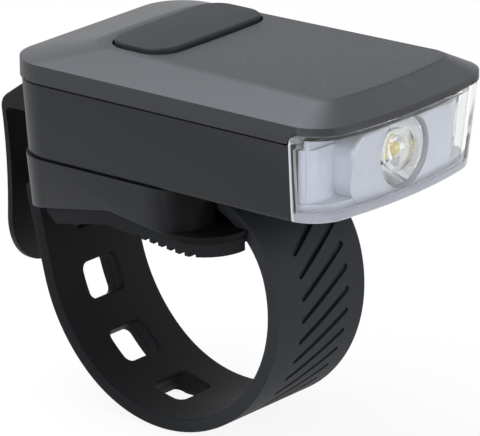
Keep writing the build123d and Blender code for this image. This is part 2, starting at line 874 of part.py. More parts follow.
def make_led_board_screws():
    body = screw(led_screw_radius, led_screw_head_radius, led_screw_head_height, led_screw_length)
    pieces = []
    for y in (-led_screw_y, led_screw_y):
        seat = Plane(origin=(led_face_x, y, bore_z), x_dir=(0, 1, 0), z_dir=(-1, 0, 0))
        pieces.append(seat * body)
    return pieces


def make_battery_cell():
    cell = slab(
        (cell_rear, -cell_width / 2, cell_bottom_z),
        (cell_front, cell_width / 2, cell_bottom_z + cell_thickness),
    )
    return fillet(cell.edges().filter_by(Axis.X), cell_edge_radius)


def make_battery_foam():
    margin = cell_edge_radius
    return slab(
        (cell_rear + margin, margin - cell_width / 2, floor_z),
        (cell_front - margin, cell_width / 2 - margin, cell_bottom_z),
    )


def wire(points, radius, bend):
    """A round wire along straight runs joined by equal bends."""
    path = FilletPolyline(*points, radius=bend)
    start = Plane(origin=path @ 0, z_dir=path % 0)
    return sweep(start * Circle(radius), path=path)


def make_battery_lead(side):
    middle_z = cell_bottom_z + cell_thickness / 2
    reach = cell_rear - lead_reach
    points = [(cell_rear, side, middle_z), (reach, side, middle_z), (reach, side, board_under_z)]
    return wire(points, lead_radius, lead_bend_radius)


def make_led_leads():
    high = board_top_z + lead_radius
    low = high - led_lead_drop
    slope_start = board_front + lead_bend_radius
    pieces = []
    for side in (-led_lead_side, led_lead_side):
        points = [
            (board_front - led_lead_land, side, high), (slope_start, side, high),
            (slope_start + led_lead_slope_length, side, low), (heat_sink_front_x, side, low),
        ]
        pieces.append(wire(points, lead_radius, led_lead_bend_radius))
    return pieces


def make_cover_screws():
    body = screw(m2_radius, m2_head_radius, m2_head_height, cover_screw_length)
    return [Pos(x, y, floor_z) * body for x, y in cover_screw_places]


def make_board_screws():
    body = Rot(180, 0, 0) * screw(m2_radius, m2_head_radius, board_screw_head_height, board_screw_length)
    return [Pos(x, y, board_top_z) * body for x, y in board_screw_places]


def bracket_block(inset):
    """The drafted block that the bracket and the pad are cut from, drawn in by an inset."""
    def level(extra):
        edge = inset + extra
        half = half_width - bracket_side_inset - edge
        return outline(
            bracket_rear_x + edge, bracket_front_x - inset, half, half,
            bracket_rear_radius - inset, bracket_front_radius - inset, 0, 0,
        )
    depth = vee_apex_depth + pad_thickness + bracket_toe_depth
    share = depth / bracket_toe_depth
    low = Pos(0, 0, housing_underside_z - depth) * level(bracket_draft * share)
    return loft([low, Pos(0, 0, housing_underside_z) * level(0)], ruled=True)


def vee_z(x):
    """Height of the bracket's underside at a place along the beam."""
    apex_z = housing_underside_z - vee_apex_depth
    if x < vee_apex_x:
        return apex_z - (vee_apex_x - x) * math.tan(math.radians(vee_rear_angle))
    toe_z = housing_underside_z - bracket_toe_depth
    return max(toe_z, apex_z - (x - vee_apex_x) * math.tan(math.radians(vee_front_angle)))


def closed_above(points, height):
    """A flat outline in the side view: a row of points below, and a level edge above."""
    return make_face(Polyline(*points, (points[-1][0], height), (points[0][0], height), close=True))


def rounded_at(face, point, radius):
    """A flat outline with the corner nearest to a point rounded."""
    corner = face.vertices().sort_by_distance(Vector(point[0], point[1], 0))[0]
    return fillet(corner, radius)


def vee_face():
    """The side view of all that lies above the bracket's underside."""
    apex = (vee_apex_x, vee_z(vee_apex_x))
    front = bracket_front_x + overrun
    rear = (vee_rear_x, vee_z(vee_rear_x))
    points = [rear, apex, (pad_toe_x, vee_z(pad_toe_x)), (front, vee_z(front))]
    return rounded_at(closed_above(points, housing_underside_z + overrun), apex, vee_apex_radius)


def strap_path():
    """The strap's middle line in the side view: down the rear, under the bar and up to its pin."""
    heading = (math.sin(math.radians(strap_lean)), -math.cos(math.radians(strap_lean)))
    top = (strap_top_x - strap_tail * heading[0], strap_top_z - strap_tail * heading[1])
    low = (strap_top_x + strap_run * heading[0], strap_top_z + strap_run * heading[1])
    run = Line(top, low)
    rear = JernArc(run @ 1, run % 1, strap_rear_bend_radius, strap_rear_bend_angle)
    under = JernArc(rear @ 1, rear % 1, strap_low_bend_radius, strap_low_bend_angle)
    front = JernArc(under @ 1, under % 1, strap_front_bend_radius, strap_front_bend_angle)
    return Plane.XZ * Wire([run.edge(), rear.edge(), under.edge(), front.edge()])


def strap_pin_place():
    """Where the strap's middle line ends, in the side view."""
    end = strap_path() @ 1
    return end.X, end.Z


def strap_plane(along):
    """A plane on the strap's middle line: X runs along the strap and Z points away from the bar."""
    path = strap_path()
    spot = path.position_at(along, position_mode=PositionMode.LENGTH)
    heading = path.tangent_at(along, position_mode=PositionMode.LENGTH)
    return Plane(origin=spot, x_dir=heading, z_dir=Vector(0, 1, 0).cross(heading))


def strap_section(width, thickness, outward):
    """A rectangle across the start of the strap, moved away from the bar."""
    path = strap_path()
    start = Plane(origin=path @ 0, x_dir=(0, 1, 0), z_dir=path % 0)
    return start * Pos(0, -outward, 0) * Rectangle(width, thickness)


def make_strap():
    path = strap_path()
    band = sweep(strap_section(strap_width, strap_thickness, 0), path=path)
    sides = band.edges().filter_by(lambda edge: edge.length > strap_run / 2)
    band = fillet(sides, strap_edge_radius)
    skin = sweep(
        strap_section(strap_width, groove_depth + overrun, (strap_thickness - groove_depth + overrun) / 2),
        path=path,
    )
    eye = Pos(pin_x, 0, pin_z) * Rot(90, 0, 0) * Cylinder(eye_radius, strap_width - 2 * strap_edge_radius)
    band += eye
    band -= Pos(pin_x, 0, pin_z) * Rot(90, 0, 0) * Cylinder(pin_radius + running_gap, strap_width + overrun)
    for i in range(slot_count):
        place = strap_plane(strap_tail + slot_first + i * slot_pitch)
        hole = place * RectangleRounded(slot_length, slot_width, slot_radius)
        band -= extrude(hole, strap_thickness, both=True)
    for i in range(groove_count):
        place = strap_plane(strap_tail + groove_first + i * groove_pitch)
        middle = place * Pos(0, -groove_side, strap_thickness / 2) * Rot(0, 0, groove_angle - 90)
        groove = extrude(middle * SlotOverall(groove_length, groove_width), strap_thickness, both=True)
        band -= groove & skin
    return band


def make_strap_pin():
    pin = Pos(pin_x, 0, pin_z) * Rot(90, 0, 0) * Cylinder(pin_radius, pin_length)
    return chamfer(pin.edges().filter_by(GeomType.CIRCLE), pin_radius / 5)


def strap_pocket(rear_x):
    """The room at the bracket's front that the strap's eye swings in."""
    half = strap_width / 2 + pin_pocket_gap
    return slab(
        (rear_x, -half, housing_underside_z - bracket_toe_depth - pad_thickness - bracket_toe_depth),
        (bracket_front_x + overrun, half, pin_z + eye_radius + pin_roof_gap),
    )


def hook_spot(along, outward):
    """A point in the side view, measured from the middle of the strap's caught slot."""
    place = strap_plane(strap_tail + slot_first)
    spot = place.from_local_coords(Vector(along, 0, outward))
    return (spot.X, spot.Z)


def make_bracket():
    top = housing_underside_z + overrun
    body = extrude(Plane.XZ * vee_face(), half_width, both=True) & bracket_block(0)
    core_half = half_width - bracket_side_inset - bracket_wall
    core_z = housing_underside_z - bracket_core_depth
    core = outline(
        bracket_core_rear, bracket_core_front, core_half, core_half,
        bracket_core_radius, bracket_core_radius, 0, 0,
    )
    core = extrude(Pos(0, 0, core_z) * core, bracket_core_depth + overrun)
    for x, y in bracket_screw_places:
        core -= post(x, y, bracket_boss_radius, core_z, top)
    for x, y in cover_screw_places[:2]:
        core -= post(x, y, m2_head_radius, core_z, top)
    body -= core
    body -= strap_pocket(pin_x - eye_radius - pin_pocket_gap)
    body -= Pos(pin_x, 0, pin_z) * Rot(90, 0, 0) * Cylinder(pin_radius + running_gap, pin_length + part_gap)
    half_neck = hook_neck_height / 2
    inner = strap_thickness / 2 + hook_gap
    profile = [
        (bracket_core_rear, vee_z(bracket_core_rear) + bracket_wall / 2),
        hook_spot(half_neck, -inner - hook_arm_thickness), hook_spot(half_neck, inner + hook_lip_thickness),
        hook_spot(-half_neck - hook_lip_height, inner + hook_lip_thickness),
        hook_spot(-half_neck - hook_lip_height, inner), hook_spot(-half_neck, inner),
        hook_spot(-half_neck, -inner), hook_spot(-half_neck - hook_arm_thickness, -inner),
        (bracket_rear_x + bracket_draft, vee_z(vee_rear_x) + bracket_wall),
    ]
    body += side_profile(profile, hook_width / 2)
    for x, y in bracket_screw_places:
        seat_z = housing_underside_z - bracket_screw_seat_depth
        body -= post(x, y, m2_radius + part_gap, seat_z - overrun, top)
        body -= post(x, y, m2_head_radius + part_gap, housing_underside_z - bracket_toe_depth, seat_z)
    return body


def make_bracket_screws():
    body = screw(m2_radius, m2_head_radius, m2_head_height, bracket_screw_length)
    seat_z = housing_underside_z - bracket_screw_seat_depth
    return [Pos(x, y, seat_z) * body for x, y in bracket_screw_places]


def pad_z(x):
    """Height of the pad's underside at a place along the beam."""
    apex_z = housing_underside_z - vee_apex_depth - pad_thickness
    if x < pad_apex_x:
        return apex_z - (pad_apex_x - x) * math.tan(math.radians(pad_rear_angle))
    run = min(x, pad_toe_x) - pad_apex_x
    return apex_z - run * math.tan(math.radians(pad_front_angle))


def make_saddle_pad():
    chamfer_x = pad_rear_x + pad_rear_chamfer
    low = [
        (pad_rear_x, vee_z(pad_rear_x) - pad_rear_flat), (chamfer_x, pad_z(chamfer_x)),
        (pad_apex_x, pad_z(pad_apex_x)), (pad_toe_x, pad_z(pad_toe_x)), (pad_front_x, pad_z(pad_front_x)),
    ]
    face = rounded_at(closed_above(low, housing_underside_z), low[2], pad_apex_radius)
    pad = extrude(Plane.XZ * face, half_width, both=True) & bracket_block(pad_side_inset)
    pad -= extrude(Plane.XZ * vee_face(), half_width + overrun, both=True)
    pad -= strap_pocket(pad_front_x - pad_thickness)
    for i in range(pad_rib_count):
        x = pad_rib_start_x + i * pad_rib_pitch
        pad -= slab(
            (x, -body_width, pad_z(x) - overrun), (x + pad_rib_width, body_width, pad_z(x) + pad_rib_depth),
        )
    return pad


def clip_tab_room(rear_x, grown):
    """A box round the clip's tab, wider, higher and deeper than it all round."""
    half_y = clip_tab_width / 2 + grown
    half_z = clip_tab_height / 2 + grown
    return slab(
        (rear_x, -half_y, clip_tab_z - half_z), (clip_tab_front_x + grown, half_y, clip_tab_z + half_z),
    )


def make_belt_clip():
    outer_x = clip_outer_x
    belly_x = outer_x + clip_belly
    neck_z = clip_top_z - clip_shoulder_height
    knee_z = clip_top_z - clip_shoulder_slope_rise
    middle_z = (knee_z + clip_bottom_z) / 2
    edges = [
        ThreePointArc((outer_x, knee_z), (belly_x, middle_z), (outer_x, clip_bottom_z)),
        Line((outer_x, clip_bottom_z), (outer_x + clip_thickness, clip_bottom_z)),
        ThreePointArc(
            (outer_x + clip_thickness, clip_bottom_z), (belly_x + clip_thickness, middle_z),
            (outer_x + clip_thickness, neck_z),
        ),
        Line((outer_x + clip_thickness, neck_z), (clip_root_x, neck_z)),
        Line((clip_root_x, neck_z), (clip_root_x, clip_top_z)),
        Line((clip_root_x, clip_top_z), (outer_x + clip_shoulder_slope_run, clip_top_z)),
        Line((outer_x + clip_shoulder_slope_run, clip_top_z), (outer_x, knee_z)),
    ]
    face = make_face(edges)
    face = rounded_at(face, (outer_x, knee_z), clip_inner_radius * 3)
    face = rounded_at(face, (outer_x + clip_shoulder_slope_run, clip_top_z), clip_inner_radius * 2)
    face = rounded_at(face, (outer_x + clip_thickness, neck_z), clip_inner_radius)
    body = extrude(Plane.XZ * face, clip_width / 2, both=True)
    radius = clip_width / 2
    tongue = Pos(0, clip_bottom_z + radius, 0) * Circle(radius)
    tongue += Pos(0, (clip_bottom_z + radius + clip_top_z) / 2, 0) * Rectangle(
        clip_width, clip_top_z - clip_bottom_z - radius,
    )
    front = Plane(origin=(outer_x - overrun, 0, 0), x_dir=(0, 1, 0), z_dir=(1, 0, 0))
    body &= extrude(front * tongue, body_rear - outer_x + clip_thickness + 2 * overrun)
    return body + clip_tab_room(clip_root_x - clip_inner_radius, 0)


pin_x, pin_z = strap_pin_place()
pieces = {
    "top_cover": make_top_cover,
    "power_button": make_power_button,
    "switch_plunger": make_switch_plunger,
    "tact_switch": make_tact_switch,
    "main_board": make_main_board,
    "usb_socket": make_usb_socket,
    "port_plug": make_port_plug,
    "main_housing": make_main_housing,
    "cover_seal": make_cover_seal,
    "front_lens": make_front_lens,
    "lens_seal": lambda: lens_seal_ring(joint_x - lens_groove_depth, joint_x),
    "lens_bezel": make_lens_bezel,
    "reflector_cup": make_reflector_cup,
    "led_optic": make_led_optic,
    "led_emitter": make_led_emitter,
    "led_board": make_led_board,
    "led_board_screws": make_led_board_screws,
    "led_leads": make_led_leads,
    "heat_sink": make_heat_sink,
    "battery_cell": make_battery_cell,
    "battery_foam": make_battery_foam,
    "battery_lead_red": lambda: make_battery_lead(lead_side),
    "battery_lead_black": lambda: make_battery_lead(-lead_side),
    "cover_screws": make_cover_screws,
    "board_screws": make_board_screws,
    "bracket": make_bracket,
    "bracket_screws": make_bracket_screws,
    "saddle_pad": make_saddle_pad,
    "strap": make_strap,
    "strap_pin": make_strap_pin,
    "belt_clip": make_belt_clip,
}

os.makedirs("parts", exist_ok=True)
for name, make in pieces.items():
    made = make()
    shapes = made if isinstance(made, list) else [made]
    group = Compound(children=[solid for shape in shapes for solid in shape.solids()])
    export_step(group, f"parts/{name}.step")
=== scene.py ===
import math

import bmesh
import bpy
from mathutils import Matrix, Vector


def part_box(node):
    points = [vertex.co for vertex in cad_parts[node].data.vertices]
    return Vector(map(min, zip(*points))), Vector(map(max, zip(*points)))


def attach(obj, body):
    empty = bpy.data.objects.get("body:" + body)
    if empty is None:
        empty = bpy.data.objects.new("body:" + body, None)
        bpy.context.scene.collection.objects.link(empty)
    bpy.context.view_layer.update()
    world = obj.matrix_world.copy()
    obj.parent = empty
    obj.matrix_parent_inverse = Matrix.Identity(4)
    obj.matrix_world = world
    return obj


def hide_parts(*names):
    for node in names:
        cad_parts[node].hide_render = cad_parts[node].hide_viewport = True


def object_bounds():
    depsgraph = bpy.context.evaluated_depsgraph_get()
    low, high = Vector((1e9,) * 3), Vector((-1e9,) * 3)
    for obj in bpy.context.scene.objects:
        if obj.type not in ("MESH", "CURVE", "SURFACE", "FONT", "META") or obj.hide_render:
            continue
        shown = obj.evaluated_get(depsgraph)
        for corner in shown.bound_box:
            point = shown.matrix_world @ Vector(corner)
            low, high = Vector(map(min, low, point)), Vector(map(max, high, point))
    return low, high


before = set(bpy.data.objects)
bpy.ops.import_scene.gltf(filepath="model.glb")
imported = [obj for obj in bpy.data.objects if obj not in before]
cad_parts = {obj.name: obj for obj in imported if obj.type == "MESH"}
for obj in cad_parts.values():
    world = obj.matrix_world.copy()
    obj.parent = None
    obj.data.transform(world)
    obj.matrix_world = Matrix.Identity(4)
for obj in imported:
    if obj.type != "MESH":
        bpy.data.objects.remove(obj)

mm = 0.001
cad_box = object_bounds()

# The camera stands where the photograph was taken from: ahead of the light on its near side, a
# little above it, far away and with a long lens, so the straight edges hardly draw together.
camera_azimuth = math.radians(39.22)
camera_elevation = math.radians(18.94)
camera_roll = math.radians(-0.57)
camera_distance = 775.8 * mm
camera_target = Vector((10.5, -1.58, 14.82)) * mm
film_width = 36
lens_length = 396.42
back = Vector((
    math.sin(camera_azimuth) * math.cos(camera_elevation),
    -math.cos(camera_azimuth) * math.cos(camera_elevation),
    math.sin(camera_elevation),
))
level = Vector((math.cos(camera_azimuth), math.sin(camera_azimuth), 0))
upright = back.cross(level)
across = level * math.cos(camera_roll) + upright * math.sin(camera_roll)
camera = bpy.data.objects.new("camera", bpy.data.cameras.new("camera"))
bpy.context.scene.collection.objects.link(camera)
bpy.context.scene.camera = camera
camera.data.sensor_width = film_width
camera.data.lens = lens_length
camera.data.clip_start = camera_distance / 10
camera.data.clip_end = camera_distance * 20
camera.location = camera_target + back * camera_distance
camera.rotation_euler = Matrix((across, back.cross(across), back)).transposed().to_euler()


# The studio: a plain white floor and a white surround, one large soft box over the light's rear,
# one at its near side and a weaker one ahead of the lens. The floor keeps a faint shadow.
class Number:
    """A number on a node's socket. A sum written with it adds the Math nodes that work it out."""

    def __init__(self, maker, link):
        self.maker = maker
        self.link = link

    def reckoned(self, operation, first, second):
        node = self.maker.node("ShaderNodeMath", {"operation": operation}, {0: first, 1: second})
        return Number(self.maker, node.outputs[0])

    def __add__(self, other):
        return self.reckoned("ADD", self, other)

    def __sub__(self, other):
        return self.reckoned("SUBTRACT", self, other)

    def __rsub__(self, other):
        return self.reckoned("SUBTRACT", other, self)

    def __mul__(self, other):
        return self.reckoned("MULTIPLY", self, other)

    def __truediv__(self, other):
        return self.reckoned("DIVIDE", self, other)

    def __pow__(self, other):
        return self.reckoned("POWER", self, other)

    __radd__ = __add__
    __rmul__ = __mul__

    def least(self, other):
        return self.reckoned("MINIMUM", self, other)

    def most(self, other):
        return self.reckoned("MAXIMUM", self, other)

    def rising(self, low, high):
        """0 below low, 1 above high, and a soft step between them."""
        node = self.maker.node(
            "ShaderNodeMapRange", {"interpolation_type": "SMOOTHSTEP"}, {0: self, 1: low, 2: high},
        )
        return Number(self.maker, node.outputs[0])


class Maker:
    """Adds nodes to one tree: a node's settings come first, and then its sockets."""

    def __init__(self, tree):
        self.tree = tree

    def node(self, kind, settings=None, sockets=None):
        made = self.tree.nodes.new(kind)
        for name, value in (settings or {}).items():
            setattr(made, name, value)
        for name, value in (sockets or {}).items():
            socket = made.inputs[name]
            link = value.link if isinstance(value, Number) else value
            if isinstance(link, bpy.types.NodeSocket):
                self.tree.links.new(link, socket)
            else:
                socket.default_value = link
        return made

    def number(self, kind, settings=None, sockets=None, output=0):
        return Number(self, self.node(kind, settings, sockets).outputs[output])


class Finish(Maker):
    """A material whose shader holds the given constants."""

    def __init__(self, name, constants=None):
        self.material = bpy.data.materials.new(name)
        self.material.use_nodes = True
        super().__init__(self.material.node_tree)
        self.shader = self.tree.nodes["Principled BSDF"]
        self.output = self.tree.nodes["Material Output"]
        for socket, value in (constants or {}).items():
            self.shader.inputs[socket].default_value = value
        self.place = self.node("ShaderNodeTexCoord").outputs["Object"]

    def axis(self, letter):
        """How far along one axis of the row frame a point of the surface lies."""
        return self.number("ShaderNodeSeparateXYZ", None, {0: self.place}, letter)

    def noise(self, size, detail=2.0):
        """A soft random pattern with lumps of about that size."""
        return self.number("ShaderNodeTexNoise", None, {
            "Vector": self.place, "Scale": 1 / size, "Detail": detail, "Roughness": 0.6,
        })

    def colours(self, mask, first, second):
        """The first colour where the mask is 0 and the second where it is 1."""
        return self.node("ShaderNodeMix", {"data_type": "RGBA"}, {0: mask, 6: first, 7: second}).outputs[2]

    def feed(self, socket, value):
        link = value.link if isinstance(value, Number) else value
        self.tree.links.new(link, self.shader.inputs[socket])

    def relief(self, height, depth):
        """Bumps whose height goes from 0 to 1 times the depth."""
        bump = self.node("ShaderNodeBump", None, {"Height": height, "Distance": depth, "Strength": 1.0})
        self.feed("Normal", bump.outputs[0])


def grey(value, warmth=0.0):
    """A grey, a little warmer or, where the warmth is below 0, a little cooler."""
    return (value * (1 + warmth), value, value * (1 - warmth), 1)


def seen_directly(maker):
    """1 for what the camera sees, also in gloss and through the clear lens, and 0 for other light."""
    path = maker.node("ShaderNodeLightPath")
    rays = ("Is Camera Ray", "Is Glossy Ray", "Is Transmission Ray")
    seen = [Number(maker, path.outputs[name]) for name in rays]
    return seen[0].most(seen[1]).most(seen[2])


floor_reach = 3.0
floor_drop = 0.2 * mm
floor_glow = 0.9
square = [(-1, -1), (1, -1), (1, 1), (-1, 1)]
floor_mesh = bpy.data.meshes.new("floor")
floor_mesh.from_pydata(
    [(x * floor_reach, y * floor_reach, cad_box[0].z - floor_drop) for x, y in square],
    [], [(0, 1, 2, 3)],
)
floor = bpy.data.objects.new("floor", floor_mesh)
bpy.context.scene.collection.objects.link(floor)
paper = Finish("white_paper", {"Roughness": 0.9, "Base Color": grey(0.9)})
white = paper.node("ShaderNodeEmission", None, {"Color": grey(1.0), "Strength": 1.0})
paper_mix = paper.node("ShaderNodeMixShader", None, {
    0: seen_directly(paper) * floor_glow, 1: paper.shader.outputs[0], 2: white.outputs[0],
})
paper.tree.links.new(paper_mix.outputs[0], paper.output.inputs["Surface"])
floor_mesh.materials.append(paper.material)

world = bpy.data.worlds.new("surround")
world.use_nodes = True
bpy.context.scene.world = world
surround = Maker(world.node_tree)
ambient = 0.34
ambient_warmth = -0.06
glow = world.node_tree.nodes["Background"]
tint = surround.node("ShaderNodeMix", {"data_type": "RGBA"}, {
    0: seen_directly(surround), 6: grey(1.0, ambient_warmth), 7: grey(1.0),
})
world.node_tree.links.new(tint.outputs[2], glow.inputs["Color"])
strength = seen_directly(surround) * (1 - ambient) + ambient
world.node_tree.links.new(strength.link, glow.inputs["Strength"])

lamp_target = Vector((11, 0, 30)) * mm
lamp_colour = (0.88, 0.90, 1.0)
lamps = {
    "top_box": {"place": Vector((-160, -60, 420)) * mm, "size": 0.34, "power": 2.2},
    "near_box": {"place": Vector((60, -420, 170)) * mm, "size": 0.30, "power": 1.05},
    "front_box": {"place": Vector((430, 60, 130)) * mm, "size": 0.24, "power": 0.9},
}
for name, lamp in lamps.items():
    light = bpy.data.lights.new(name, "AREA")
    light.shape = "SQUARE"
    light.size = lamp["size"]
    light.energy = lamp["power"]
    light.color = lamp_colour
    box = bpy.data.objects.new(name, light)
    bpy.context.scene.collection.objects.link(box)
    box.location = lamp["place"]
    box.rotation_euler = (lamp["place"] - lamp_target).to_track_quat("Z", "Y").to_euler()
bpy.context.scene.view_settings.view_transform = "Standard"


# The housing is a deep tray of black glass-filled plastic, moulded with a satin skin. Its walls
# lean in a little towards the floor, the lens closes its open front, and rubber rings seal both
# joints. Its top edge stands back from the cover, so the parting line shows dark.
merge_distance = 0.002 * mm
flat_angle = math.radians(0.5)


def shown_in(name, mesh):
    """A new piece with this mesh."""
    piece = bpy.data.objects.new(name, mesh)
    bpy.context.scene.collection.objects.link(piece)
    return piece


def settled(piece, corner):
    """Works a piece's modifiers into a plain mesh, smooth but for edges sharper than the corner."""
    graph = bpy.context.evaluated_depsgraph_get()
    mesh = bpy.data.meshes.new_from_object(piece.evaluated_get(graph))
    piece.modifiers.clear()
    piece.data = mesh
    for face in mesh.polygons:
        face.use_smooth = True
    mesh.set_sharp_from_angle(angle=math.radians(corner))


def moulded(name, node, body, edge, finish, corner=28, cuts=(), shift=(0, 0, 0)):
    """A smooth copy of a CAD piece with a small radius on its edges, which stands for that piece."""
    shape = bmesh.new()
    shape.from_mesh(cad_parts[node].data)
    bmesh.ops.remove_doubles(shape, verts=shape.verts, dist=merge_distance)
    bmesh.ops.dissolve_limit(
        shape, angle_limit=flat_angle, verts=shape.verts, edges=shape.edges,
        use_dissolve_boundaries=False,
    )
    bmesh.ops.translate(shape, verts=shape.verts, vec=Vector(shift))
    mesh = bpy.data.meshes.new(name)
    shape.to_mesh(mesh)
    shape.free()
    piece = shown_in(name, mesh)
    for cutter in cuts:
        cut = piece.modifiers.new("cut", "BOOLEAN")
        cut.operation = "DIFFERENCE"
        cut.solver = "EXACT"
        cut.object = cutter
    if edge:
        bevel = piece.modifiers.new("edge", "BEVEL")
        bevel.width = edge
        bevel.segments = 2
        bevel.limit_method = "ANGLE"
        bevel.angle_limit = math.radians(corner)
        bevel.use_clamp_overlap = True
        normals = piece.modifiers.new("normals", "WEIGHTED_NORMAL")
        normals.keep_sharp = True
    settled(piece, corner)
    for cutter in cuts:
        bpy.data.objects.remove(cutter)
    piece.data.materials.clear()
    piece.data.materials.append(finish.material)
    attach(piece, body)
    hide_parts(node)


def plastic(name, shade, sheen, grain, depth, gloss, warmth=-0.05, spread=0.12):
    """Moulded plastic or rubber: a fine grain, with soft patches that are a little lighter and duller."""
    finish = Finish(name, {"Specular IOR Level": gloss})
    patches = finish.noise(9 * mm, 3.0)
    speckle = finish.noise(grain)
    tone = patches * 0.6 + speckle * 0.4
    finish.feed("Base Color", finish.colours(
        tone, grey(shade * (1 - spread), warmth), grey(shade * (1 + spread), warmth),
    ))
    finish.feed("Roughness", sheen - 0.05 + patches * 0.1)
    finish.relief(speckle, depth)
    return finish


def prism(points, low, high):
    """An upright solid on a flat outline, to cut with."""
    shape = bmesh.new()
    base = shape.faces.new([shape.verts.new((x, y, low)) for x, y in points])
    raised = bmesh.ops.extrude_face_region(shape, geom=[base])["geom"]
    corners = [part for part in raised if isinstance(part, bmesh.types.BMVert)]
    bmesh.ops.translate(shape, verts=corners, vec=(0, 0, high - low))
    bmesh.ops.recalc_face_normals(shape, faces=shape.faces)
    mesh = bpy.data.meshes.new("cutter")
    shape.to_mesh(mesh)
    shape.free()
    return shown_in("cutter", mesh)


def finished(finish, *nodes):
    """Gives CAD pieces that keep their own shape a finish."""
    for node in nodes:
        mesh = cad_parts[node].data
        mesh.materials.clear()
        mesh.materials.append(finish.material)


black_plastic = {
    "shade": 0.010, "sheen": 0.42, "grain": 0.35 * mm, "depth": 0.006 * mm, "gloss": 0.28,
    "warmth": -0.08,
}
housing_plastic = plastic("housing_plastic", **black_plastic)
housing_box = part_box("main_housing")
seam = 0.22 * mm
cutter_rise = 10 * seam
cutter_reach = 100 * mm
around = [(x * cutter_reach, y * cutter_reach) for x, y in square]
moulded("housing_shell", "main_housing", "light", 0.18 * mm, housing_plastic, cuts=[
    prism(around, housing_box[1].z - seam, housing_box[1].z + cutter_rise),
])
seal_rubber = plastic(
    "seal_rubber", shade=0.01, sheen=0.7, grain=0.3 * mm, depth=0.01 * mm, gloss=0.2,
)
finished(seal_rubber, "cover_seal", "lens_seal")


# The cover is a lid of dark grey plastic: a darker rim, four sloping bevels with a satin skin, and
# a flat raised top with a coarser spark texture round the button.
cover_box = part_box("top_cover")
top_low = cover_box[1].z - 0.35 * mm
top_high = cover_box[1].z - 0.15 * mm
rim_low = cover_box[1].z - 2.85 * mm
rim_high = cover_box[1].z - 2.7 * mm
spark_size = 0.22 * mm
cloud_size = 11 * mm
cover_plastic = Finish("cover_plastic", {"Specular IOR Level": 0.42})
on_top = cover_plastic.axis("Z").rising(top_low, top_high)
spark = cover_plastic.noise(spark_size, 1.0)
cloud = cover_plastic.noise(cloud_size, 3.0)
bevel_colour = cover_plastic.colours(cloud, grey(0.030, -0.05), grey(0.038, -0.05))
on_rim = 1 - cover_plastic.axis("Z").rising(rim_low, rim_high)
bevel_colour = cover_plastic.colours(on_rim, bevel_colour, grey(0.016, -0.05))
top_colour = cover_plastic.colours(spark.rising(0.35, 0.7), grey(0.022, -0.05), grey(0.046, -0.05))
cover_plastic.feed("Base Color", cover_plastic.colours(on_top, bevel_colour, top_colour))
cover_plastic.feed("Roughness", 0.42 + on_top * 0.14 + cloud * 0.05)
cover_plastic.relief(spark * (on_top * 0.75 + 0.25), 0.03 * mm)
moulded("cover_lid", "top_cover", "light", 0.16 * mm, cover_plastic, corner=20)


# The power button is one wide rubber-skinned pad that stands a little proud of the cover. Under it
# a small steel-cased switch sits on the board, and its plunger follows the pad.
button_rubber = plastic(
    "button_rubber", shade=0.010, sheen=0.55, grain=0.25 * mm, depth=0.012 * mm, gloss=0.26,
    warmth=-0.25, spread=0.15,
)
moulded("button_pad", "power_button", "button", 0.12 * mm, button_rubber)


def metal(name, colour, rough, scratch_size):
    """Bare metal with fine scratches along the beam."""
    finish = Finish(name, {"Metallic": 1.0})
    stretched = finish.node("ShaderNodeMapping", None, {
        "Vector": finish.place, "Scale": (0.1 / scratch_size, 1 / scratch_size, 1 / scratch_size),
    }).outputs[0]
    scratch = finish.number("ShaderNodeTexNoise", None, {"Vector": stretched, "Scale": 1.0, "Detail": 3.0})
    dull = tuple(0.8 * part for part in colour[:3]) + (1,)
    finish.feed("Base Color", finish.colours(scratch, dull, colour))
    finish.feed("Roughness", rough + scratch * 0.12)
    finish.relief(scratch, 0.004 * mm)
    return finish


switch_plastic = plastic(
    "switch_plastic", shade=0.02, sheen=0.5, grain=0.2 * mm, depth=0.01 * mm, gloss=0.5,
)
finished(switch_plastic, "switch_plunger")
switch_steel = metal("switch_steel", (0.60, 0.60, 0.61, 1), rough=0.3, scratch_size=0.1 * mm)
finished(switch_steel, "tact_switch", "usb_socket")


# The charging port's flap is soft rubber, set flush in the far wall, with a bead along one short
# edge that it turns on and a tongue that fills the socket.
soft_rubber = plastic(
    "soft_rubber", shade=0.012, sheen=0.62, grain=0.3 * mm, depth=0.014 * mm, gloss=0.3,
)
moulded("port_flap", "port_plug", "flap", 0.08 * mm, soft_rubber)


# The lens is one clear polycarbonate moulding that wraps round the whole front of the housing and
# carries on its outline. Its walls are over a millimetre thick. A milky grey band is painted along
# its floor and a bright edge along its rear rim: painted light for the light those walls gather.
lens_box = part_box("front_lens")
painted_band_low = lens_box[0].z + 1.3 * mm
painted_band_high = lens_box[0].z + 2.0 * mm
rim_rear = lens_box[0].x + 0.3 * mm
rim_front = lens_box[0].x + 0.55 * mm
painted_band_share = 0.8
lens_plastic = Finish("clear_lens", {
    "Base Color": (0.97, 0.98, 0.985, 1), "IOR": 1.14, "Transmission Weight": 1.0, "Coat Weight": 1.0,
    "Coat IOR": 1.5, "Coat Roughness": 0.03,
})
lens_plastic.feed("Roughness", lens_plastic.noise(6 * mm, 2.0) * 0.03 + 0.01)
# Painted light: near the floor and the rear rim a greyer, duller shader is mixed over the clear one, bright
# grey at the rim.
in_floor = 1 - lens_plastic.axis("Z").rising(painted_band_low, painted_band_high)
in_rear_rim = 1 - lens_plastic.axis("X").rising(rim_rear, rim_front)
painted_band_mottle = lens_plastic.noise(4 * mm, 2.0)
painted_floor_colour = lens_plastic.colours(painted_band_mottle, (0.46, 0.47, 0.50, 1), (0.60, 0.61, 0.64, 1))
painted_edge_light = lens_plastic.node("ShaderNodeBsdfPrincipled", None, {
    "Base Color": lens_plastic.colours(in_rear_rim, painted_floor_colour, grey(0.92)),
    "Roughness": 0.25, "IOR": 1.3, "Transmission Weight": 0.35, "Coat Weight": 1.0,
})
lens_mix = lens_plastic.node("ShaderNodeMixShader", None, {
    0: in_floor.most(in_rear_rim) * painted_band_share, 1: lens_plastic.shader.outputs[0], 2: painted_edge_light.outputs[0],
})
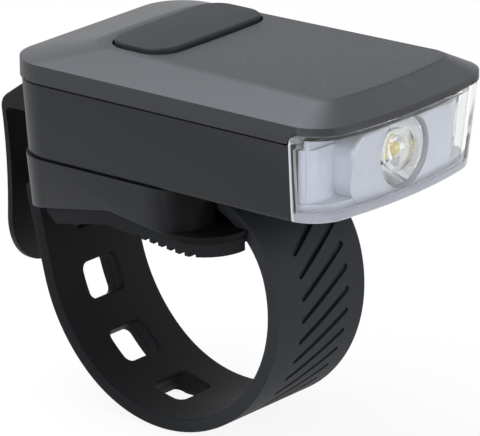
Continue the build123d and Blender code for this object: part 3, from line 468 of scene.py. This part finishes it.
lens_plastic.tree.links.new(lens_mix.outputs[0], lens_plastic.output.inputs["Surface"])
moulded("lens_shell", "front_lens", "light", 0.15 * mm, lens_plastic, corner=24)


# The bezel fills the lens: a pale silver tub with a boss in the middle, and a round bore through
# the boss for the beam. It is moulded and then coated, so it has a bright satin skin.
silver = Finish("silver_plastic", {"Metallic": 0.15})
silver_cloud = silver.noise(3 * mm, 3.0)
silver_orange = silver.noise(0.5 * mm, 1.0)
silver.feed("Base Color", silver.colours(silver_cloud, (0.42, 0.44, 0.49, 1), (0.52, 0.54, 0.59, 1)))
silver.feed("Roughness", 0.26 + silver_cloud * 0.12)
silver.relief(silver_orange, 0.01 * mm)
moulded("bezel_tub", "lens_bezel", "light", 0.12 * mm, silver)


# The reflector is a small metallised bowl in the bore. Its wall is a net of flat facets, so it
# breaks the beam up. A clear moulded dome stands in it, over the yellow face of the LED.
weld_distance = 0.001 * mm
bowl_power = 0.6
beam_height = 30.75 * mm


def geometry_tree(name, inputs):
    """A shape's node tree with named inputs, its maker, and the sockets of those inputs."""
    tree = bpy.data.node_groups.new(name, "GeometryNodeTree")
    tree.interface.new_socket(name="Shape", in_out="OUTPUT", socket_type="NodeSocketGeometry")
    sockets = {}
    for label, kind in inputs.items():
        sockets[label] = tree.interface.new_socket(
            name=label, in_out="INPUT", socket_type="NodeSocket" + kind,
        )
    maker = Maker(tree)
    given = maker.node("NodeGroupInput").outputs
    return tree, maker, given, sockets


def grown(name, tree, sockets, values, mesh=None):
    """A new piece whose shape is what the tree makes from these values."""
    piece = shown_in(name, mesh or bpy.data.meshes.new(name))
    modifier = piece.modifiers.new("shape", "NODES")
    modifier.node_group = tree
    for label, value in values.items():
        modifier[sockets[label].identifier] = value
    return piece


def ended(maker, shape, material):
    """The end of a shape's tree: instances made real, and its material set."""
    real = maker.node("GeometryNodeRealizeInstances", None, {0: shape})
    dressed = maker.node("GeometryNodeSetMaterial", None, {"Geometry": real.outputs[0], "Material": material})
    out = maker.node("NodeGroupOutput")
    maker.tree.links.new(dressed.outputs[0], out.inputs[0])


chrome = Finish("reflector_chrome", {"Metallic": 1.0, "Base Color": (0.86, 0.87, 0.89, 1)})
chrome.feed("Roughness", chrome.noise(1 * mm, 2.0) * 0.1 + 0.14)
cup_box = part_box("reflector_cup")
bowl, bowl_maker, bowl_in, bowl_sockets = geometry_tree("facet_bowl", {
    "Facets round": "Int", "Facets deep": "Int", "Throat radius": "Float", "Mouth radius": "Float",
    "Start": "Float", "Depth": "Float", "Middle height": "Float", "Material": "Material",
})
net = bowl_maker.node("GeometryNodeMeshGrid", None, {
    "Size X": 1.0, "Size Y": 1.0,
    "Vertices X": Number(bowl_maker, bowl_in["Facets round"]) + 1,
    "Vertices Y": Number(bowl_maker, bowl_in["Facets deep"]) + 1,
})
spot = bowl_maker.node("GeometryNodeInputPosition").outputs[0]
turn = bowl_maker.number("ShaderNodeSeparateXYZ", None, {0: spot}, "X") * (2 * math.pi)
share = bowl_maker.number("ShaderNodeSeparateXYZ", None, {0: spot}, "Y") + 0.5
throat = Number(bowl_maker, bowl_in["Throat radius"])
radius = throat + (Number(bowl_maker, bowl_in["Mouth radius"]) - throat) * share ** bowl_power
reach = Number(bowl_maker, bowl_in["Start"]) + share * Number(bowl_maker, bowl_in["Depth"])
placed = bowl_maker.node("ShaderNodeCombineXYZ", None, {
    0: reach,
    1: radius * bowl_maker.number("ShaderNodeMath", {"operation": "COSINE"}, {0: turn}),
    2: radius * bowl_maker.number("ShaderNodeMath", {"operation": "SINE"}, {0: turn})
    + Number(bowl_maker, bowl_in["Middle height"]),
})
turned = bowl_maker.node("GeometryNodeSetPosition", None, {
    "Geometry": net.outputs[0], "Position": placed.outputs[0],
})
closed = bowl_maker.node("GeometryNodeMergeByDistance", None, {
    "Geometry": turned.outputs[0], "Distance": weld_distance,
})
ended(bowl_maker, closed.outputs[0], bowl_in["Material"])
cup = grown("reflector_bowl", bowl, bowl_sockets, {
    "Facets round": 30, "Facets deep": 6, "Throat radius": 3.3 * mm, "Mouth radius": 5.4 * mm,
    "Start": cup_box[0].x + 0.6 * mm, "Depth": 3.5 * mm, "Middle height": beam_height,
    "Material": chrome.material,
})
shell = cup.modifiers.new("wall", "SOLIDIFY")
shell.thickness = 0.15 * mm
settled(cup, 4)
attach(cup, "light")
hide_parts("reflector_cup")

optic_plastic = Finish("clear_optic", {
    "Base Color": (0.98, 0.98, 0.97, 1), "IOR": 1.25, "Transmission Weight": 1.0, "Coat Weight": 1.0,
})
optic_plastic.feed("Roughness", optic_plastic.noise(1 * mm, 2.0) * 0.05 + 0.02)
led_shift = (2.6 * mm, 0, 0)
moulded("led_dome", "led_optic", "light", 0, optic_plastic, corner=30, shift=led_shift)
phosphor = Finish("led_yellow", {"Roughness": 0.5})
phosphor_grain = phosphor.noise(0.3 * mm, 2.0)
phosphor.feed("Base Color", phosphor.colours(phosphor_grain, (0.80, 0.58, 0.04, 1), (0.88, 0.72, 0.12, 1)))
phosphor.relief(phosphor_grain, 0.01 * mm)
moulded("led_die", "led_emitter", "light", 0, phosphor, corner=30, shift=led_shift)


# Behind the bezel and under the cover are the LED board on its aluminium plate, the main board,
# the cell on its foam bed, their leads, and the screws that hold it all together.
def coated(name, first, second, rough, grain, depth):
    """A coat of paint, lacquer or foil in two close shades."""
    finish = Finish(name)
    mottle = finish.noise(grain, 3.0)
    finish.feed("Base Color", finish.colours(mottle, first, second))
    finish.feed("Roughness", rough + mottle * 0.1)
    finish.relief(mottle, depth)
    return finish


board_green = coated(
    "board_green", (0.02, 0.14, 0.05, 1), (0.03, 0.20, 0.08, 1),
    rough=0.3, grain=2 * mm, depth=0.01 * mm,
)
finished(board_green, "main_board")
board_white = coated(
    "board_white", grey(0.72), grey(0.82), rough=0.35, grain=1 * mm, depth=0.01 * mm,
)
finished(board_white, "led_board")
sink_aluminium = metal("sink_aluminium", (0.72, 0.73, 0.74, 1), rough=0.32, scratch_size=0.15 * mm)
finished(sink_aluminium, "heat_sink")
cell_foil = coated("cell_foil", grey(0.50), grey(0.62), rough=0.3, grain=1.5 * mm, depth=0.03 * mm)
finished(cell_foil, "battery_cell")
foam = coated("foam", grey(0.03), grey(0.10), rough=0.9, grain=0.3 * mm, depth=0.08 * mm)
finished(foam, "battery_foam")
lead_red = coated(
    "lead_red", (0.45, 0.02, 0.02, 1), (0.58, 0.03, 0.03, 1),
    rough=0.4, grain=1 * mm, depth=0.01 * mm,
)
finished(lead_red, "battery_lead_red", "led_leads")
lead_black = coated(
    "lead_black", grey(0.02), grey(0.035), rough=0.4, grain=1 * mm, depth=0.01 * mm,
)
finished(lead_black, "battery_lead_black")
screw_steel = metal("screw_steel", (0.42, 0.42, 0.43, 1), rough=0.35, scratch_size=0.08 * mm)
finished(screw_steel, "cover_screws", "board_screws", "bracket_screws", "led_board_screws")


# The bracket, in the same black plastic, is screwed under the housing. The pad is stuck to its V,
# and a hook at the rear holds the strap. Its tall part ends in a rounded front with a low lip
# before it. Towards the front it is painted darker and duller, as painted shade under the housing.
bracket_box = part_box("bracket")
foot_front = 13.6 * mm
foot_radius = 5 * mm
foot_steps = 8
foot_half = bracket_box[1].y
lip_top = 17.4 * mm
pocket_rear = 9 * mm
pocket_front = 15 * mm
pocket_half = 11 * mm
pocket_top = 23.4 * mm
painted_shade_rear = 6 * mm
painted_shade_front = 12.5 * mm
painted_shade_share = 0.92
clear = 5 * mm
turn_x = foot_front - foot_radius
notch = [(bracket_box[1].x + clear, -foot_half - clear), (turn_x, -foot_half - clear)]
for side in (-1, 1):
    for step in range(foot_steps + 1)[::-side]:
        angle = math.radians(90 * step / foot_steps)
        notch.append((
            turn_x + foot_radius * math.sin(angle),
            side * (foot_half - foot_radius + foot_radius * math.cos(angle)),
        ))
notch += [(turn_x, foot_half + clear), (bracket_box[1].x + clear, foot_half + clear)]
pocket = [
    (pocket_rear, -pocket_half), (pocket_front, -pocket_half),
    (pocket_front, pocket_half), (pocket_rear, pocket_half),
]
foot_plastic = plastic("foot_plastic", **black_plastic)
# Painted shade: towards the front the bracket fades into this near-black shader with little reflection.
painted_shade_bsdf = foot_plastic.node("ShaderNodeBsdfPrincipled", None, {
    "Base Color": grey(0.004), "Roughness": 0.6, "Specular IOR Level": 0.06,
})
foot_mix = foot_plastic.node("ShaderNodeMixShader", None, {
    0: foot_plastic.axis("X").rising(painted_shade_rear, painted_shade_front) * painted_shade_share,
    1: foot_plastic.shader.outputs[0], 2: painted_shade_bsdf.outputs[0],
})
foot_plastic.tree.links.new(foot_mix.outputs[0], foot_plastic.output.inputs["Surface"])
moulded("bracket_foot", "bracket", "light", 0.25 * mm, foot_plastic, cuts=[
    prism(notch, lip_top, bracket_box[1].z + clear),
    prism(pocket, bracket_box[0].z - clear, pocket_top),
])


# The saddle pad is a strip of soft black rubber along the V, with cross ribs that grip the bar.
pad_rubber = plastic(
    "pad_rubber", shade=0.008, sheen=0.72, grain=0.3 * mm, depth=0.02 * mm, gloss=0.14,
)
moulded("pad_strip", "saddle_pad", "light", 0.2 * mm, pad_rubber)


# The strap is one flat moulding of black silicone with a row of slots, raised collars round three
# of them, and slanted grooves. It is bent round the bar, hooks on at the rear, and ends in an eye
# on a steel pin at the front.
strap_width = 20.8 * mm
strap_thickness = 2.05 * mm
strap_edge = 0.4 * mm
strap_top = Vector((-22.12, 0, 12.82)) * mm
strap_lean = math.radians(13.93)
strap_tail = 3.15 * mm
strap_straight = 11.36 * mm
strap_bends = [(25.7 * mm, 35.4), (21.0 * mm, 144.3), (15.2 * mm, 50.0)]
strap_end_run = 3.6 * mm
slot_size = (5.9 * mm, 7.3 * mm)
slot_radius = 1.2 * mm
slot_pitch = 11.4 * mm
slot_first = strap_tail + 2.9 * mm
slot_count = 4
collar_margin = 1.3 * mm
collar_height = 1.4 * mm
collar_root = 0.8 * mm
eye_radius = 2.1 * mm
cut_pitch = 0.6 * mm
line_step = 0.2 * mm
band_corner = 1 * mm
eye_segments = 32
groove_round_ratio = 2.02
groove_cutter_rise = 3


def round_cornered(middle, size, radius, steps=6):
    """The corners of a flat rounded rectangle, as points."""
    points = []
    for quarter, (sign_x, sign_y) in enumerate(((1, 1), (-1, 1), (-1, -1), (1, -1))):
        for step in range(steps + 1):
            angle = math.radians(90 * quarter + 90 * step / steps)
            points.append((
                middle[0] + sign_x * (size[0] / 2 - radius) + radius * math.cos(angle),
                middle[1] + sign_y * (size[1] / 2 - radius) + radius * math.sin(angle), 0,
            ))
    return points


def strap_line():
    """The strap's middle line, walked from its top end in small steps."""
    heading = strap_lean - math.pi / 2
    spot = strap_top - Vector((math.cos(heading), 0, math.sin(heading))) * strap_tail
    points = [spot.copy()]
    runs = [(strap_tail + strap_straight, 0)]
    runs += [(radius * math.radians(angle), math.radians(angle)) for radius, angle in strap_bends]
    runs.append((strap_end_run, 0))
    for length, angle in runs:
        steps = round(length / line_step)
        for _ in range(steps):
            heading += angle / steps / 2
            spot = spot + Vector((math.cos(heading), 0, math.sin(heading))) * (length / steps)
            heading += angle / steps / 2
            points.append(spot.copy())
    return points


line_points = strap_line()
strap_length = sum((b - a).length for a, b in zip(line_points, line_points[1:]))
line_curve = bpy.data.curves.new("strap_line", "CURVE")
line_curve.dimensions = "3D"
line_spline = line_curve.splines.new("POLY")
line_spline.points.add(len(line_points) - 1)
for point, spot in zip(line_spline.points, line_points):
    point.co = (*spot, 1)
strap_guide = bpy.data.objects.new("strap_line", line_curve)


def flat_solid(outlines, thickness, edge, middle):
    """A flat solid with holes, rounded at its edges and cut across often enough to bend."""
    curve = bpy.data.curves.new("flat", "CURVE")
    curve.dimensions = "2D"
    curve.fill_mode = "BOTH"
    curve.extrude = thickness / 2 - edge
    curve.bevel_depth = edge
    curve.bevel_resolution = 2
    curve.offset = -edge
    for points in outlines:
        spline = curve.splines.new("POLY")
        spline.points.add(len(points) - 1)
        for point, spot in zip(spline.points, points):
            point.co = (*spot, 1)
        spline.use_cyclic_u = True
    drawn = shown_in("flat", curve)
    bpy.context.view_layer.update()
    shape = bmesh.new()
    shape.from_mesh(bpy.data.meshes.new_from_object(
        drawn.evaluated_get(bpy.context.evaluated_depsgraph_get()),
    ))
    bpy.data.objects.remove(drawn)
    bmesh.ops.remove_doubles(shape, verts=shape.verts, dist=merge_distance)
    bmesh.ops.translate(shape, verts=shape.verts, vec=(0, 0, middle))
    for cut in range(1, round(strap_length / cut_pitch)):
        bmesh.ops.bisect_plane(
            shape, geom=shape.verts[:] + shape.edges[:] + shape.faces[:],
            plane_co=(cut * cut_pitch, 0, 0), plane_no=(1, 0, 0),
        )
    bmesh.ops.recalc_face_normals(shape, faces=shape.faces)
    return shape


band_outlines = [round_cornered((strap_length / 2, 0), (strap_length, strap_width), band_corner)]
collar_outlines = []
for slot in range(slot_count):
    middle = (slot_first + slot * slot_pitch, 0)
    band_outlines.append(round_cornered(middle, slot_size, slot_radius))
    if slot > 0:
        collar_outlines.append(round_cornered(middle, slot_size, slot_radius))
        collar_outlines.append(round_cornered(
            middle, [size + 2 * collar_margin for size in slot_size], slot_radius + collar_margin,
        ))
flat_shape = flat_solid(band_outlines, strap_thickness, strap_edge, 0)
bmesh.ops.create_cone(
    flat_shape, cap_ends=True, segments=eye_segments, radius1=eye_radius, radius2=eye_radius,
    depth=strap_width - 2 * strap_edge,
    matrix=Matrix.Translation((strap_length, 0, 0)) @ Matrix.Rotation(math.pi / 2, 4, "X"),
)
collar_shape = flat_solid(
    collar_outlines, collar_height + collar_root, strap_edge / 2,
    (strap_thickness + collar_height - collar_root) / 2,
)
flat_meshes = []
for shape in (flat_shape, collar_shape):
    flat_meshes.append(bpy.data.meshes.new("strap_flat"))
    shape.to_mesh(flat_meshes[-1])
    shape.free()

strap_tree, strap_maker, strap_in, strap_sockets = geometry_tree("grooved_strap", {
    "Flat band": "Geometry", "Middle line": "Object", "Grooves": "Int", "First groove": "Float",
    "Groove pitch": "Float", "Groove side": "Float", "Groove angle": "Float", "Groove length": "Float",
    "Groove width": "Float", "Groove depth": "Float", "Thickness": "Float", "Material": "Material",
})
strap_value = {label: Number(strap_maker, strap_in[label]) for label in strap_sockets}
groove_loop = strap_maker.node("GeometryNodeCurvePrimitiveQuadrilateral", None, {
    "Width": strap_value["Groove width"], "Height": strap_value["Groove length"],
})
groove_round = strap_maker.node("GeometryNodeFilletCurve", {"mode": "POLY"}, {
    "Curve": groove_loop.outputs[0], "Radius": strap_value["Groove width"] / groove_round_ratio, "Count": 5,
})
groove_face = strap_maker.node("GeometryNodeFillCurve", None, {"Curve": groove_round.outputs[0]})
groove_wall = strap_maker.node("GeometryNodeExtrudeMesh", None, {
    "Mesh": groove_face.outputs[0], "Individual": False,
    "Offset Scale": strap_value["Groove depth"] * groove_cutter_rise,
})
groove_base = strap_maker.node("GeometryNodeFlipFaces", None, {"Mesh": groove_face.outputs[0]})
groove_join = strap_maker.node("GeometryNodeJoinGeometry")
for part in (groove_wall.outputs[0], groove_base.outputs[0]):
    strap_tree.links.new(part, groove_join.inputs[0])
groove_solid = strap_maker.node("GeometryNodeMergeByDistance", None, {
    "Geometry": groove_join.outputs[0], "Distance": weld_distance,
})
row_start = strap_maker.node("ShaderNodeCombineXYZ", None, {
    0: strap_value["First groove"], 1: strap_value["Groove side"],
    2: strap_value["Thickness"] / 2 - strap_value["Groove depth"],
})
row_step = strap_maker.node("ShaderNodeCombineXYZ", None, {0: strap_value["Groove pitch"]})
row = strap_maker.node("GeometryNodeMeshLine", {"mode": "OFFSET"}, {
    "Count": strap_value["Grooves"], "Start Location": row_start.outputs[0], "Offset": row_step.outputs[0],
})
row_turn = strap_maker.node("ShaderNodeCombineXYZ", None, {2: strap_value["Groove angle"]})
row_cutters = strap_maker.node("GeometryNodeInstanceOnPoints", None, {
    "Points": row.outputs[0], "Instance": groove_solid.outputs[0], "Rotation": row_turn.outputs[0],
})
cutters = strap_maker.node("GeometryNodeRealizeInstances", None, {0: row_cutters.outputs[0]})
grooved = strap_maker.node("GeometryNodeMeshBoolean", {"operation": "DIFFERENCE", "solver": "EXACT"}, {
    "Mesh 1": strap_in["Flat band"], "Mesh 2": cutters.outputs[0],
})
guide = strap_maker.node("GeometryNodeObjectInfo", None, {"Object": strap_in["Middle line"]})
flat_spot = strap_maker.node("GeometryNodeInputPosition").outputs[0]
along, aside, outward = [
    strap_maker.number("ShaderNodeSeparateXYZ", None, {0: flat_spot}, letter) for letter in "XYZ"
]
guide_length = strap_maker.number("GeometryNodeCurveLength", None, {0: guide.outputs["Geometry"]})
reached = along.least(guide_length).most(0)
followed = strap_maker.node("GeometryNodeSampleCurve", {"mode": "LENGTH"}, {
    "Curves": guide.outputs["Geometry"], "Length": reached,
})


def vectors(operation, first, second, socket=1):
    """Vector Math on two sockets of the strap's tree."""
    node = strap_maker.node(
        "ShaderNodeVectorMath", {"operation": operation}, {0: first, socket: second},
    )
    return node.outputs[0]


side_way = (0, 1, 0)
out_way = vectors("CROSS_PRODUCT", side_way, followed.outputs["Tangent"])
bent = vectors("ADD", followed.outputs["Position"], vectors("SCALE", out_way, outward, "Scale"))
bent = vectors("ADD", bent, vectors("SCALE", side_way, aside * -1, "Scale"))
bent = vectors("ADD", bent, vectors("SCALE", followed.outputs["Tangent"], along - reached, "Scale"))
strap_bent = strap_maker.node("GeometryNodeSetPosition", None, {
    "Geometry": grooved.outputs[0], "Position": bent,
})
ended(strap_maker, strap_bent.outputs[0], strap_in["Material"])

# Painted shade: the silicone is painted darker towards its rear run and lighter towards the front, with some
# random bloom mixed in.
strap_shade_rear = -6 * mm
strap_shade_front = 20 * mm
silicone = Finish("strap_silicone", {"Specular IOR Level": 0.12})
dust = silicone.noise(0.25 * mm, 2.0)
bloom = silicone.noise(7 * mm, 3.0)
strap_shade_and_bloom = silicone.axis("X").rising(strap_shade_rear, strap_shade_front) * 0.8 + bloom * 0.2
silicone.feed("Base Color", silicone.colours(strap_shade_and_bloom, grey(0.004, -0.08), grey(0.024, -0.08)))
silicone.feed("Roughness", 0.55 + bloom * 0.1)
silicone.relief(dust, 0.01 * mm)
flat_values = {
    "Middle line": strap_guide, "Grooves": 10, "First groove": strap_tail + 56.4 * mm,
    "Groove pitch": 3.27 * mm, "Groove side": -0.9 * mm, "Groove angle": math.radians(27.3),
    "Groove length": 12.4 * mm, "Groove width": 0.9 * mm, "Groove depth": 0.5 * mm,
    "Thickness": strap_thickness, "Material": silicone.material,
}
strap = grown("strap_band", strap_tree, strap_sockets, flat_values, flat_meshes[0])
collars = grown("strap_collars", strap_tree, strap_sockets, {**flat_values, "Grooves": 0}, flat_meshes[1])
for piece in (strap, collars):
    settled(piece, 30)
    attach(piece, "light")
bpy.data.objects.remove(strap_guide)
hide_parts("strap")
pin_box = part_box("strap_pin")
pin_shift = line_points[-1] - (pin_box[0] + pin_box[1]) / 2
pin_steel = metal("pin_steel", (0.55, 0.55, 0.56, 1), rough=0.25, scratch_size=0.08 * mm)
moulded("pin_rod", "strap_pin", "light", 0, pin_steel, shift=pin_shift)


# The clip is a flat springy tongue of black plastic that hangs behind the housing and takes a belt
# or a pack strap. Its tab plugs into the housing's rear wall.
clip_plastic = plastic(
    "clip_plastic", shade=0.006, sheen=0.5, grain=0.35 * mm, depth=0.006 * mm, gloss=0.18,
)
moulded("clip_tongue", "belt_clip", "clip", 0.2 * mm, clip_plastic)
